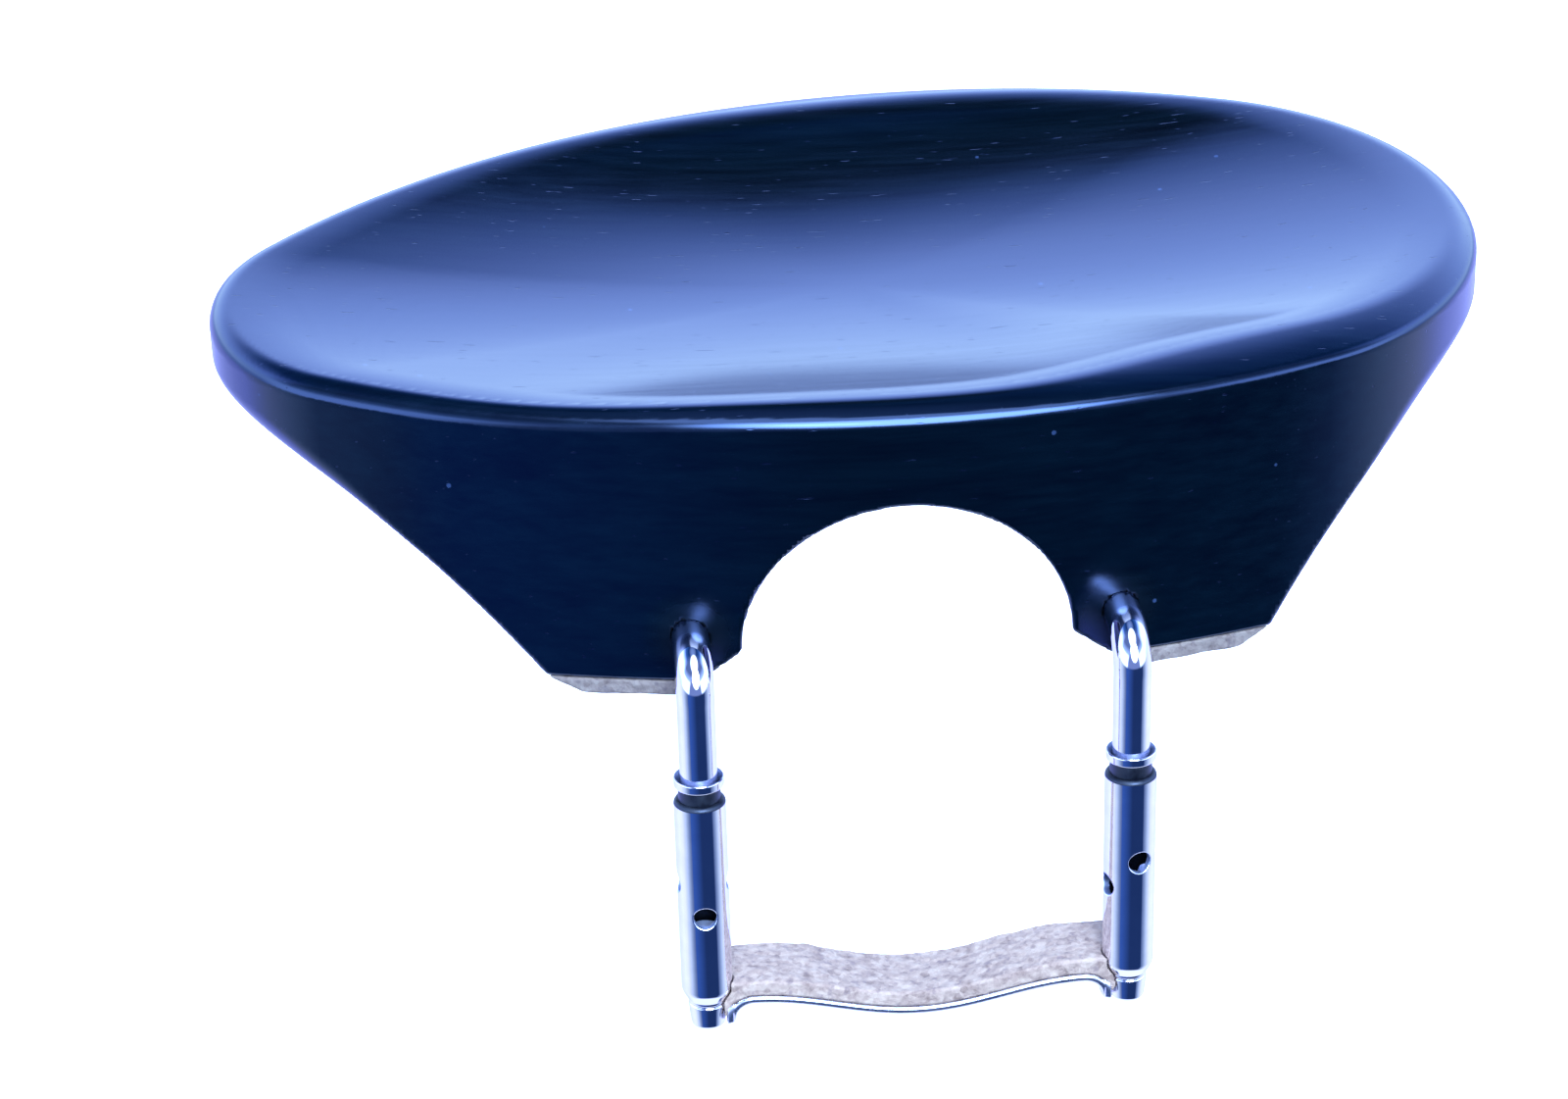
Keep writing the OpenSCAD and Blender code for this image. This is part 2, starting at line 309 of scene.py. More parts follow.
def settle(distance, points, quads, step, rounds=3, ease=0.6):
    """Evens the mesh out along the surface and puts each point on it."""
    for turn in range(rounds):
        if turn < rounds - 1:
            total = np.zeros_like(points)
            count = np.zeros(len(points))
            for a, b in ((0, 1), (1, 2), (2, 3), (3, 0)):
                np.add.at(total, quads[:, a], points[quads[:, b]])
                np.add.at(count, quads[:, a], 1)
            move = total / count[:, None] - points
            slope, steepness = slope_of(distance, points)
            normal = slope / steepness[:, None]
            points = points + ease * (move - normal * np.sum(move * normal, 1)[:, None])
        for _ in range(2):
            slope, steepness = slope_of(distance, points)
            shift = np.clip(distance(points) / steepness, -step, step)
            points = points - slope / steepness[:, None] * shift[:, None]
    return points


def solid(name, distance, low, high, step, body, node, material, slot, others=(), which=None):
    """A closed mesh of the shape, riding on its CAD body in place of its CAD node.

    The other materials go on the faces whose middles give their numbers.
    """
    margin = 2.5 * step
    low = np.array(low) - margin
    counts = np.ceil((np.array(high) + margin - low) / step).astype(int) + 1
    points, quads = surface_net(grid_values(distance, low, step, counts), low, step)
    points = settle(distance, points, quads, step)
    slope = slope_of(distance, points)[0]
    normals = slope / np.linalg.norm(slope, axis=1)[:, None]
    mesh = bpy.data.meshes.new(name)
    mesh.from_pydata((points * MM).tolist(), [], quads.tolist())
    mesh.polygons.foreach_set("use_smooth", [True] * len(mesh.polygons))
    mesh.normals_split_custom_set_from_vertices(normals.tolist())
    piece = bpy.data.objects.new(name, mesh)
    bpy.context.scene.collection.objects.link(piece)
    mesh.materials.append(material)
    for other in others:
        mesh.materials.append(other)
    if others:
        mesh.polygons.foreach_set("material_index", which(points[quads].mean(1)).astype(int))
    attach(piece, body)
    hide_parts(node)
    return piece


# ---------------------------------------------------------------- the plate

def turned(angle):
    """The direction at an angle in degrees, seen from above."""
    return np.array([math.cos(math.radians(angle)), math.sin(math.radians(angle))])


FRONT_C = np.array([FRONT_X, FRONT_Y + FRONT_R])
LEFT_OUT = turned(-90 - LEFT_TURN)
RIGHT_OUT = turned(-90 + RIGHT_TURN)
LEFT_C = FRONT_C + (FRONT_R - LEFT_R) * LEFT_OUT
RIGHT_C = FRONT_C + (FRONT_R - RIGHT_R) * RIGHT_OUT
ENDS_APART = np.linalg.norm(RIGHT_C - LEFT_C)
ALONG = (RIGHT_C - LEFT_C) / ENDS_APART
BACK_ALONG = ((BACK_R - LEFT_R) ** 2 - (BACK_R - RIGHT_R) ** 2 + ENDS_APART ** 2) / (2 * ENDS_APART)
BACK_DOWN = math.sqrt((BACK_R - LEFT_R) ** 2 - BACK_ALONG ** 2)
BACK_C = LEFT_C + BACK_ALONG * ALONG + BACK_DOWN * np.array([ALONG[1], -ALONG[0]])
BACK_Y = BACK_C[1] + BACK_R
PLATE_C = np.array([FRONT_X, (FRONT_Y + BACK_Y) / 2])
TIP_X = {"left": LEFT_R - LEFT_C[0], "right": RIGHT_C[0] + RIGHT_R}


def between(v, start, end):
    """Whether directions lie between two others, going anticlockwise."""
    return (start[0] * v[1] - start[1] * v[0] >= 0) & (v[0] * end[1] - v[1] * end[0] >= 0)


def outline_distance(x, y):
    """How far points lie outside the plate's outline, seen from above."""
    from_left = (x - LEFT_C[0], y - LEFT_C[1])
    from_right = (x - RIGHT_C[0], y - RIGHT_C[1])
    front = np.hypot(x - FRONT_C[0], y - FRONT_C[1]) - FRONT_R
    back = np.hypot(x - BACK_C[0], y - BACK_C[1]) - BACK_R
    left = np.hypot(*from_left) - LEFT_R
    right = np.hypot(*from_right) - RIGHT_R
    distance = np.maximum(front, back)
    distance = np.where(between(from_left, LEFT_C - BACK_C, LEFT_OUT), left, distance)
    return np.where(between(from_right, RIGHT_OUT, RIGHT_C - BACK_C), right, distance)


def swell(angle, middle, reach):
    """A soft rise from 0 to 1 and back, round one direction seen from the plate's centre, in degrees."""
    away = (np.degrees(angle) - middle + 180) % 360 - 180
    return np.exp(-(away / reach) ** 2)


def rim_width(angle):
    """Distance from the wall to the crest: wide towards the front right, narrow at the left end."""
    width = RIM_LEAST_W
    for extra, middle, reach in RIM_WIDER:
        width = width + extra * swell(angle, middle, reach)
    return width


def crest_rise(angle):
    """Height of the crest above the rim's sloping level: highest at the back, lowest at the front left."""
    rise = CREST_RISE
    for drop, middle, reach in CREST_LOWER:
        rise = rise - drop * swell(angle, middle, reach)
    return rise


def crest_radii(count=720, halvings=40):
    """How far the crest lies from the plate's centre, in directions all round it."""
    angle = np.linspace(-math.pi, math.pi, count + 1)
    near = np.full(count + 1, 5.0)
    far = np.full(count + 1, 80.0)
    for _ in range(halvings):
        middle = (near + far) / 2
        x = PLATE_C[0] + middle * np.cos(angle)
        y = PLATE_C[1] + middle * np.sin(angle)
        inside = outline_distance(x, y) < -rim_width(angle)
        near = np.where(inside, middle, near)
        far = np.where(inside, far, middle)
    return angle, near


CREST_ANGLE, CREST_RADIUS = crest_radii()


def top_height(x, y, inset):
    """Height of the plate's top: the rim's outer slope, its crest and the dish."""
    angle = np.arctan2(y - PLATE_C[1], x - PLATE_C[0])
    share = np.hypot(x - PLATE_C[0], y - PLATE_C[1]) / np.interp(angle, CREST_ANGLE, CREST_RADIUS)
    to_crest = np.clip(1 - inset / rim_width(angle), 0, 1.2)
    slope = -RIM_FALL * to_crest ** 2
    dish = -DISH_DEPTH * (1 - share ** 2)
    level = RIM_Z + math.tan(math.radians(RIM_TILT)) * (y - FRONT_Y)
    rise = CREST_RISE + (crest_rise(angle) - CREST_RISE) * np.clip(share, 0, 1) ** 3
    return level + rise + CREST_BLEND / 4 + smooth_min(slope, dish, CREST_BLEND)


def sweep(t, rise, bulge, length):
    """Height of a rising sweep above the feet at share t of its length, and the cosine of its slope."""
    slope = rise * (1 + bulge * (1 - 2 * t)) / length
    return rise * t * (1 + bulge * (1 - t)), 1 / np.hypot(1, slope)


def underside(x, y, z):
    """How far points lie below the plate's underside."""
    distance = FOOT_CORK_T - z
    for name, side in SIDES.items():
        length = TIP_X[name] - FOOT_X[name]
        t = np.clip((side * x - FOOT_X[name]) / length, *SWEEP_PAST_ENDS)
        height, lean = sweep(t, FLANK_RISE[name], FLANK_BULGE[name], length)
        distance = round_cut(distance, (FOOT_CORK_T + height - z) * lean, FLANK_ROUND)
    length = BACK_Y - FOOT_BACK_Y
    t = np.clip((y - FOOT_BACK_Y) / length, *SWEEP_PAST_ENDS)
    height, lean = sweep(t, BACK_RISE, BACK_BULGE, length)
    return smooth_max(distance, (FOOT_CORK_T + height - z) * lean, BACK_BLEND)


def arch(x, y, z):
    """How far points lie inside the arch that lets the tailpiece through."""
    wider = ARCH_DRAFT * (y - FRONT_Y)
    half = ARCH_HALF_W + wider
    rise = ARCH_CROWN_Z - ARCH_START_Z
    up = np.maximum(z - ARCH_START_Z, 0)
    level = np.hypot(x / half, up / rise)
    fall = np.hypot(x / half ** 2, up / rise ** 2)
    oval = (level ** 2 - level) / np.maximum(fall, 1e-3)
    flare = (FOOT_INNER_X - ARCH_HALF_W) / (ARCH_START_Z - FOOT_CORK_T)
    chamfer = (half + flare * (ARCH_START_Z - z) - np.abs(x)) / math.hypot(1, flare)
    chamfer = np.minimum(chamfer, ARCH_START_Z + ARCH_CHAMFER_H - z)
    return round_cut(-oval, chamfer, ARCH_CHAMFER_ROUND)


def hook_holes(x, y, z):
    """How far points lie inside the two holes that the hooks go into."""
    radial = np.hypot(np.abs(x) - BARREL_X, z - ARM_Z)
    return np.minimum(ROD_R - HOLE_SQUEEZE - radial, ARM_END + HOLE_PAST_ARM - y)


def plate_shape(points):
    """The wood: wall, rim, dish, underside, arch and the holes for the hooks."""
    x, y, z = points.T
    wall = outline_distance(x, y)
    inset = np.maximum(-wall, 0)
    top = (z - top_height(x, y, inset)) * TOP_STEEPNESS
    shape = round_cut(wall, top, RIM_EDGE_ROUND)
    under_edge = UNDER_EDGE_ROUND + UNDER_EDGE_GROWTH * smooth_step(*UNDER_EDGE_Z, z)
    shape = round_cut(shape, underside(x, y, z), under_edge)
    shape = round_cut(shape, arch(x, y, z), ARCH_EDGE_ROUND)
    return np.maximum(shape, hook_holes(x, y, z))


# ---------------------------------------------------------------- the clamp

def past_ends(z, low, high):
    """How far points lie below the lower or above the higher of two heights."""
    return np.maximum(low - z, z - high)


def thread(angle, z, low, high, hand):
    """How deep a thread cuts into a rod between two heights."""
    wave = np.abs(2 * ((z / PITCH - hand * angle / (2 * math.pi)) % 1) - 1)
    fade = smooth_step(low - 0.2, low + 0.3, z) * smooth_step(high + 0.5, high - 0.5, z)
    return THREAD_DEPTH * wave * fade


def hook_shape(side):
    """A hook: its threaded tail, its bend and the arm that goes into the wood."""
    def distance(points):
        x, y, z = (points - [side * BARREL_X, BARREL_Y, 0]).T
        bend_z = ARM_Z - BEND_R
        tail = np.hypot(x, y) - ROD_R + thread(np.arctan2(y, x), z, HOOK_END + 0.3, COLLAR_TOP - 1.2, 1)
        bend = np.hypot(np.hypot(y - BEND_R, z - bend_z) - BEND_R, x) - ROD_R
        arm = np.hypot(x, z - ARM_Z) - ROD_R
        rod = np.where(z < bend_z, tail, np.where(y < BEND_R, bend, arm))
        ends = np.maximum(HOOK_END - z, y - (ARM_END - BARREL_Y))
        return round_cut(rod, ends, HOOK_END_ROUND)
    return distance


def collar_shape(side):
    """A collar: a ring on a neck, with a flared mouth round the hook."""
    def distance(points):
        x, y, z = (points - [side * BARREL_X, BARREL_Y, 0]).T
        radial = np.hypot(x, y)
        ring_ends = past_ends(z, COLLAR_TOP - RING_H, COLLAR_TOP)
        ring = round_cut(radial - COLLAR_R, ring_ends, COLLAR_EDGE_ROUND)
        neck = np.maximum(radial - NECK_R, past_ends(z, BARREL_TOP, COLLAR_TOP - RING_H / 2))
        spread = (MOUTH_R - BORE_R) / MOUTH_H
        flare = (BORE_R - radial + spread * np.maximum(z - COLLAR_TOP + MOUTH_H, 0)) / math.hypot(1, spread)
        return round_cut(smooth_min(ring, neck, COLLAR_ROOT_BLEND), flare, FINE_EDGE_ROUND)
    return distance


def collar_parts(points):
    """1 inside the mouth and the bore, 2 in the groove under the ring, 0 elsewhere."""
    radial = np.hypot(np.abs(points[:, 0]) - BARREL_X, points[:, 1] - BARREL_Y)
    below_top = COLLAR_TOP - points[:, 2]
    mouth = MOUTH_R - (MOUTH_R - BORE_R) * np.clip(below_top / MOUTH_H, 0, 1)
    # The groove under the ring takes painted shade
    groove = (below_top > RING_H - 0.12) & (radial < COLLAR_R - 0.1)
    return np.where(radial < mouth + WALL_SLACK, 1, np.where(groove, 2, 0))


def barrel_parts(points):
    """1 in the bore, 2 on the walls of the key holes, 3 on the shoulder under the collar, 0 elsewhere."""
    radial = np.hypot(np.abs(points[:, 0]) - BARREL_X, points[:, 1] - BARREL_Y)
    z = points[:, 2]
    middle = (z > LOWER_KEY_Z - 2 * KEY_HOLE_R) & (z < UPPER_KEY_Z + 2 * KEY_HOLE_R)
    key_wall = middle & (radial < BARREL_R - 0.05)
    # The shoulder under the collar takes painted shade
    shoulder = z > BARREL_TOP - 0.42
    # The bore takes painted shade
    return np.select([radial < BORE_R + WALL_SLACK, key_wall, shoulder], [1, 2, 3], 0)


def in_barrel(points):
    """1 on the length of a stud that stands in its barrel, 0 elsewhere."""
    return points[:, 2] > BARREL_BOTTOM + 0.3


def barrel_shape(side, turn):
    """A barrel: rounded at the top, tapered at the foot, with a bore and two crossing key holes."""
    def distance(points):
        x, y, z = (points - [side * BARREL_X, BARREL_Y, 0]).T
        radial = np.hypot(x, y)
        body = round_cut(radial - BARREL_R, z - BARREL_TOP, BARREL_TOP_ROUND)
        taper = math.atan2(BARREL_R - CONE_R, CONE_H)
        cone = (radial - CONE_R) * math.cos(taper) - (z - BARREL_BOTTOM) * math.sin(taper)
        body = round_cut(body, cone, BARREL_FOOT_ROUND)
        body = round_cut(body, BARREL_BOTTOM - z, FINE_EDGE_ROUND)
        for height, extra in ((LOWER_KEY_Z, 0), (UPPER_KEY_Z, 90)):
            across = turned(turn + extra)
            aside = x * across[0] + y * across[1]
            hole = KEY_HOLE_R - np.hypot(aside, z - height)
            body = round_cut(body, hole, KEY_HOLE_ROUND)
        return round_cut(body, BORE_R - radial, FINE_EDGE_ROUND)
    return distance


def stud_shape(side):
    """A stud: a threaded rod on a thicker foot, with a groove just under the barrel."""
    def distance(points):
        x, y, z = (points - [side * BARREL_X, BARREL_Y, 0]).T
        taper_top = BARREL_BOTTOM - FOOT_TAPER_DROP
        taper = FOOT_TAPER * np.clip((taper_top - z) / (taper_top - STUD_LOW[2]), 0, 1)
        swollen = (FOOT_R - ROD_R) * smooth_step(BARREL_BOTTOM + 0.2, BARREL_BOTTOM - 0.1, z)
        groove = STUD_GROOVE * np.exp(-((z - BARREL_BOTTOM + STUD_GROOVE_DROP) / STUD_GROOVE_W) ** 2)
        threaded = smooth_step(BARREL_BOTTOM, BARREL_BOTTOM + 0.8, z)
        rod = np.hypot(x, y) - ROD_R - swollen + taper + groove
        rod = rod + thread(np.arctan2(y, x), z, STUD_LOW[2], STUD_HIGH[2] - 0.3, -1) * threaded
        return round_cut(rod, past_ends(z, STUD_LOW[2], STUD_HIGH[2]), STUD_END_ROUND)
    return distance


# ---------------------------------------------------------------- the bracket

def above_bracket(x, z):
    """Height above the bracket plate's top face, square to it, along its bow and round its bent ends."""
    bow = BRACKET_TOP - BRACKET_SAG * (1 + np.cos(math.pi * x / HIGH_X)) / 2
    slope = BRACKET_SAG * math.pi / (2 * HIGH_X) * np.sin(math.pi * x / HIGH_X)
    out = np.abs(x) - HIGH_X
    up = z - BRACKET_TOP + FLANGE_R
    return np.where(out < 0, (z - bow) / np.hypot(1, slope), np.hypot(out, up) - FLANGE_R)


def bracket_end(x, z, reach):
    """How far points lie past the end of a strip that follows the bent flange through an angle."""
    out = np.abs(x) - HIGH_X
    up = z - BRACKET_TOP + FLANGE_R
    past = out * math.cos(math.radians(reach)) - up * math.sin(math.radians(reach))
    return np.where(out > 0, past, -FLANGE_R)


def bracket_shape(points):
    """The bracket's bowed plate with its bent ends, and the braze round the studs' feet."""
    x, y, z = points.T
    height = above_bracket(x, z)
    sheet = np.abs(height + BRACKET_T / 2) - BRACKET_T / 2
    edges = np.maximum(BRACKET_FRONT - y, y - BRACKET_BACK)
    shape = round_cut(sheet, edges, BRACKET_EDGE_ROUND)
    shape = round_cut(shape, bracket_end(x, z, FLANGE_BEND), 0.1)
    from_stud = np.hypot(np.abs(x) - BARREL_X, y - BARREL_Y) - FOOT_R + FOOT_TAPER
    braze = smooth_min(shape, from_stud, BRAZE_BLEND)
    braze = np.maximum(braze, past_ends(z, STUD_LOW[2] + 0.5, BRACKET_TOP - 0.7))
    braze = np.maximum(braze, from_stud - BRAZE_REACH)
    braze = round_cut(braze, np.abs(x) - PLATE_HIGH[0], 0.2)
    return round_cut(np.minimum(shape, braze), -from_stud, 0.05)


def cork_roughness(points):
    """Crumbs along a cork's surface."""
    return 0.07 * lattice_noise(points, 1.1, 3) + 0.05 * lattice_noise(points, 0.5, 4)


def bracket_cork_shape(points):
    """The bracket's cork: crumbly, ragged along the back, with room for the studs and barrels."""
    x, y, z = points.T
    height = above_bracket(x, z)
    level_end = z - BRACKET_TOP - BRACKET_CORK_T
    layer = np.maximum(-height, np.where(np.abs(x) < HIGH_X, height - BRACKET_CORK_T, level_end))
    ragged = 0.22 * lattice_noise(points, 2.6, 1) + 0.1 * lattice_noise(points, 0.9, 2)
    edges = np.maximum(BRACKET_FRONT + 0.1 - y, y - BRACKET_BACK + 0.3 + ragged)
    shape = round_cut(layer, edges, CORK_EDGE_ROUND)
    shape = round_cut(shape, bracket_end(x, z, CORK_BEND), CORK_EDGE_ROUND)
    shape = round_cut(shape, np.abs(x) - CLAMP_CORK_END, CORK_EDGE_ROUND)
    taper = smooth_step(BARREL_BOTTOM - 0.3, BARREL_BOTTOM + CONE_H, z)
    clear = FOOT_R + 0.04 + (BARREL_R - FOOT_R) * taper - np.hypot(np.abs(x) - BARREL_X, y - BARREL_Y)
    inside_layer = smooth_step(0, 0.4, height)
    return np.maximum(shape + cork_roughness(points) * inside_layer, clear) + 0.02


def foot_cork_shape(name):
    """A foot's cork: ragged along the outline and the back, and bevelled towards the flank."""
    side = SIDES[name]
    flare = (FOOT_INNER_X - ARCH_HALF_W) / (ARCH_START_Z - FOOT_CORK_T)

    def distance(points):
        x, y, z = points.T
        ragged = 0.12 * lattice_noise(points, 2.2, 5) + 0.06 * lattice_noise(points, 0.8, 6)
        plan = round_cut(outline_distance(x, y) + 0.15 + ragged, y - FOOT_BACK_Y + 0.3 + ragged, 0.8)
        inner = FOOT_INNER_X + ARCH_DRAFT * (y - FRONT_Y) * FOOT_INNER_X / ARCH_HALF_W + flare * 0.05
        plan = round_cut(plan, inner - side * x, 0.5)
        bevel = math.hypot(FOOT_CORK_BEVEL, FOOT_CORK_T)
        past = side * x - FOOT_X[name] + FOOT_CORK_BEVEL * (1 - z / FOOT_CORK_T)
        plan = round_cut(plan, past * FOOT_CORK_T / bevel, 0.3)
        layer = past_ends(z, 0.0, FOOT_CORK_T)
        rough = cork_roughness(points) * smooth_step(FOOT_CORK_T, FOOT_CORK_T - 0.4, z)
        rough = rough * smooth_step(0, 0.3, z)
        return round_cut(plan, layer, 0.25) + rough
    return distance


# ---------------------------------------------------------------- materials

# Where a mix node keeps its colours
MIX_A = 6
MIX_B = 7
MIX_RESULT = 2


class Nodes:
    """A short way to write the nodes of a material or the world."""

    def __init__(self, tree):
        self.tree = tree

    def add(self, kind, **settings):
        """A new node, with some of its settings."""
        node = self.tree.nodes.new(kind)
        for key, value in settings.items():
            setattr(node, key, value)
        return node

    def link(self, source, target):
        self.tree.links.new(source, target)

    def place(self, stretch):
        """Object coordinates, in metres, times a stretch for each axis."""
        mapping = self.add("ShaderNodeMapping")
        mapping.inputs["Scale"].default_value = stretch
        self.link(self.add("ShaderNodeTexCoord").outputs["Object"], mapping.inputs["Vector"])
        return mapping.outputs["Vector"]

    def noise(self, where, detail=4.0, roughness=0.55):
        """Noise at a place."""
        node = self.add("ShaderNodeTexNoise")
        node.inputs["Scale"].default_value = 1.0
        node.inputs["Detail"].default_value = detail
        node.inputs["Roughness"].default_value = roughness
        self.link(where, node.inputs["Vector"])
        return node.outputs["Fac"]

    def cells(self, where, output="Distance"):
        """Cells at a place: how far it is from the middle of its cell, or the cell's colour."""
        node = self.add("ShaderNodeTexVoronoi")
        node.inputs["Scale"].default_value = 1.0
        self.link(where, node.inputs["Vector"])
        return node.outputs[output]

    def span(self, value, low, high, out_low=0.0, out_high=1.0):
        """A value mapped from one range to another, and held at its ends."""
        node = self.add("ShaderNodeMapRange")
        ends = {"From Min": low, "From Max": high, "To Min": out_low, "To Max": out_high}
        for key, number in ends.items():
            node.inputs[key].default_value = number
        self.link(value, node.inputs["Value"])
        return node.outputs["Result"]

    def math(self, operation, a, b):
        """An operation on two values, each a number or an output."""
        node = self.add("ShaderNodeMath", operation=operation)
        for number, value in enumerate((a, b)):
            if isinstance(value, (int, float)):
                node.inputs[number].default_value = value
            else:
                self.link(value, node.inputs[number])
        return node.outputs["Value"]

    def ramp(self, value, *stops):
        """A colour that changes with a value, from stop to stop."""
        node = self.add("ShaderNodeValToRGB")
        elements = node.color_ramp.elements
        while len(elements) < len(stops):
            elements.new(1.0)
        for element, (position, colour) in zip(elements, stops):
            element.position = position
            element.color = (*colour, 1)
        self.link(value, node.inputs["Fac"])
        return node.outputs["Color"]

    def mix(self, share, a, b):
        """The first colour where the share is 0 and the second where it is 1."""
        node = self.add("ShaderNodeMix", data_type="RGBA")
        self.link(share, node.inputs["Factor"])
        for key, value in ((MIX_A, a), (MIX_B, b)):
            if isinstance(value, tuple):
                node.inputs[key].default_value = (*value, 1)
            else:
                self.link(value, node.inputs[key])
        return node.outputs[MIX_RESULT]

    def bump(self, height, distance):
        """A normal bent by a height, which counts in units of the distance."""
        node = self.add("ShaderNodeBump")
        node.inputs["Distance"].default_value = distance
        self.link(height, node.inputs["Height"])
        return node.outputs["Normal"]


def new_material(name):
    """A material, its nodes and its shader."""
    material = bpy.data.materials.new(name)
    material.use_nodes = True
    nodes = Nodes(material.node_tree)
    shader = material.node_tree.nodes["Principled BSDF"]
    return material, nodes, shader


def tinted(shade, tint):
    """A shade with each of its parts multiplied by the tint's."""
    return tuple(part * share for part, share in zip(shade, tint))


def near_hooks(nodes):
    """1 on the wood beside the hooks, where the polish is rubbed dull, and 0 a little further out."""
    place = nodes.add("ShaderNodeTexCoord").outputs["Object"]
    either_side = nodes.add("ShaderNodeVectorMath", operation="ABSOLUTE")
    nodes.link(place, either_side.inputs[0])
    reach = nodes.add("ShaderNodeVectorMath", operation="DISTANCE")
    nodes.link(either_side.outputs["Vector"], reach.inputs[0])
    reach.inputs[1].default_value = (BARREL_X * MM, FRONT_Y * MM, ARM_Z * MM)
    return nodes.span(reach.outputs["Value"], 3 * ROD_R * MM, 1.3 * ROD_R * MM)


def ebony():
    """Polished ebony: dark grain, darker pores and a few pale specks."""
    material, nodes, shader = new_material("ebony")
    grain = nodes.noise(nodes.place((70, 1100, 1100)), detail=6, roughness=0.6)
    streak = nodes.noise(nodes.place((16, 260, 260)), detail=3)
    pore_field = nodes.noise(nodes.place((420, 3600, 3600)), detail=1, roughness=0.4)
    pore = nodes.span(pore_field, 0.735, 0.79)
    speck = nodes.span(nodes.cells(nodes.place((170, 170, 170))), 0.045, 0.03)
    tone = nodes.math("ADD", nodes.math("MULTIPLY", grain, 0.55), nodes.math("MULTIPLY", streak, 0.45))
    wood = nodes.ramp(
        tone, (0.36, (0.0001, 0.0010, 0.0015)), (0.5, (0.0002, 0.0020, 0.003)),
        (0.66, (0.0004, 0.0032, 0.005)))
    wood = nodes.mix(pore, wood, (0.0002, 0.0008, 0.004))
    wood = nodes.mix(nodes.math("MULTIPLY", speck, 0.3), wood, (0.06, 0.11, 0.26))
    nodes.link(wood, shader.inputs["Base Color"])
    rubbed = near_hooks(nodes)
    rough = nodes.span(grain, 0.3, 0.7, 0.13, 0.18)
    rough = nodes.math("ADD", rough, nodes.math("MULTIPLY", pore, 0.12))
    nodes.link(nodes.math("ADD", rough, nodes.math("MULTIPLY", rubbed, 0.25)), shader.inputs["Roughness"])
    nodes.link(nodes.span(rubbed, 0, 1, 0.5, 0.15), shader.inputs["Specular IOR Level"])
    height = nodes.math("SUBTRACT", nodes.math("MULTIPLY", grain, 0.12), nodes.math("MULTIPLY", pore, 0.35))
    nodes.link(nodes.bump(height, 0.00002), shader.inputs["Normal"])
    shader.inputs["IOR"].default_value = 1.8
    shader.inputs["Specular Tint"].default_value = (0.35, 0.50, 1.0, 1)
    return material


def chrome(name, dullness):
    """Bright plating. Dullness is added to its roughness."""
    material, nodes, shader = new_material(name)
    haze = nodes.noise(nodes.place((500, 500, 500)), detail=3)
    scratch = nodes.noise(nodes.place((2500, 2500, 160)), detail=2)
    tint = nodes.ramp(haze, (0.35, (0.78, 0.75, 0.84)), (0.65, (0.84, 0.80, 0.88)))
    nodes.link(tint, shader.inputs["Base Color"])
    hazy = nodes.span(haze, 0.35, 0.7, 0.035, 0.075)
    worn = nodes.math("ADD", hazy, nodes.span(scratch, 0.66, 0.74, 0.0, 0.06))
    worn = nodes.math("ADD", worn, dullness) if dullness else worn
    nodes.link(worn, shader.inputs["Roughness"])
    nodes.link(nodes.bump(haze, 0.000004), shader.inputs["Normal"])
    shader.inputs["Metallic"].default_value = 1.0
    return material


def dull_and_shaded_steel(name, lightness, metallic=1.0):
    """Unpolished steel where no polish reaches, for threads, mouths and the walls of the key holes; at a
    very low lightness it is painted shade, for the bores and the grooves.
    """
    material, nodes, shader = new_material(name)
    stain = nodes.noise(nodes.place((900, 900, 900)), detail=3)
    stained = tuple(lightness * part for part in (0.65, 0.75, 1.1))
    clean = tuple(lightness * part for part in (0.95, 1.1, 1.5))
    nodes.link(nodes.ramp(stain, (0.3, stained), (0.7, clean)), shader.inputs["Base Color"])
    nodes.link(nodes.span(stain, 0.3, 0.7, 0.35, 0.6), shader.inputs["Roughness"])
    nodes.link(nodes.bump(stain, 0.00003), shader.inputs["Normal"])
    shader.inputs["Metallic"].default_value = metallic
    return material


def cork(name, tint):
    """Cork: blotches and cells, with darker crumbs."""
    material, nodes, shader = new_material(name)
    blotch = nodes.noise(nodes.place((800, 800, 800)), detail=5, roughness=0.7)
    cell = nodes.add("ShaderNodeSeparateColor")
    nodes.link(nodes.cells(nodes.place((1700, 1700, 1700)), "Color"), cell.inputs["Color"])
    cell_tone = nodes.math("MULTIPLY", cell.outputs["Red"], 0.18)
    mixed = nodes.math("ADD", cell_tone, nodes.math("MULTIPLY", blotch, 0.9))
    shades = (
        (0.33, (0.30, 0.22, 0.20)), (0.46, (0.48, 0.38, 0.35)), (0.58, (0.60, 0.49, 0.44)),
        (0.72, (0.70, 0.60, 0.54)))
    tone = nodes.ramp(mixed, *((place, tinted(shade, tint)) for place, shade in shades))
    dark = nodes.span(nodes.noise(nodes.place((1100, 1100, 1100)), detail=2), 0.60, 0.70)
    tone = nodes.mix(nodes.math("MULTIPLY", dark, 0.45), tone, tinted((0.22, 0.17, 0.22), tint))
    nodes.link(tone, shader.inputs["Base Color"])
    hollow = nodes.math("MULTIPLY", nodes.cells(nodes.place((1300, 1300, 1300))), -0.5)
    nodes.link(nodes.bump(nodes.math("ADD", blotch, hollow), 0.0002), shader.inputs["Normal"])
    nodes.link(nodes.span(blotch, 0.3, 0.7, 0.78, 0.95), shader.inputs["Roughness"])
    return material


# ---------------------------------------------------------------- stage

LAMP_COLOUR = (0.40, 0.58, 1.0)
FILL_COLOUR = (1.0, 0.98, 1.0)
SKY_STRENGTH = 10.0
BACKDROP = (1.2, 1.2, 1.2)
FLOOR_DROP = 60

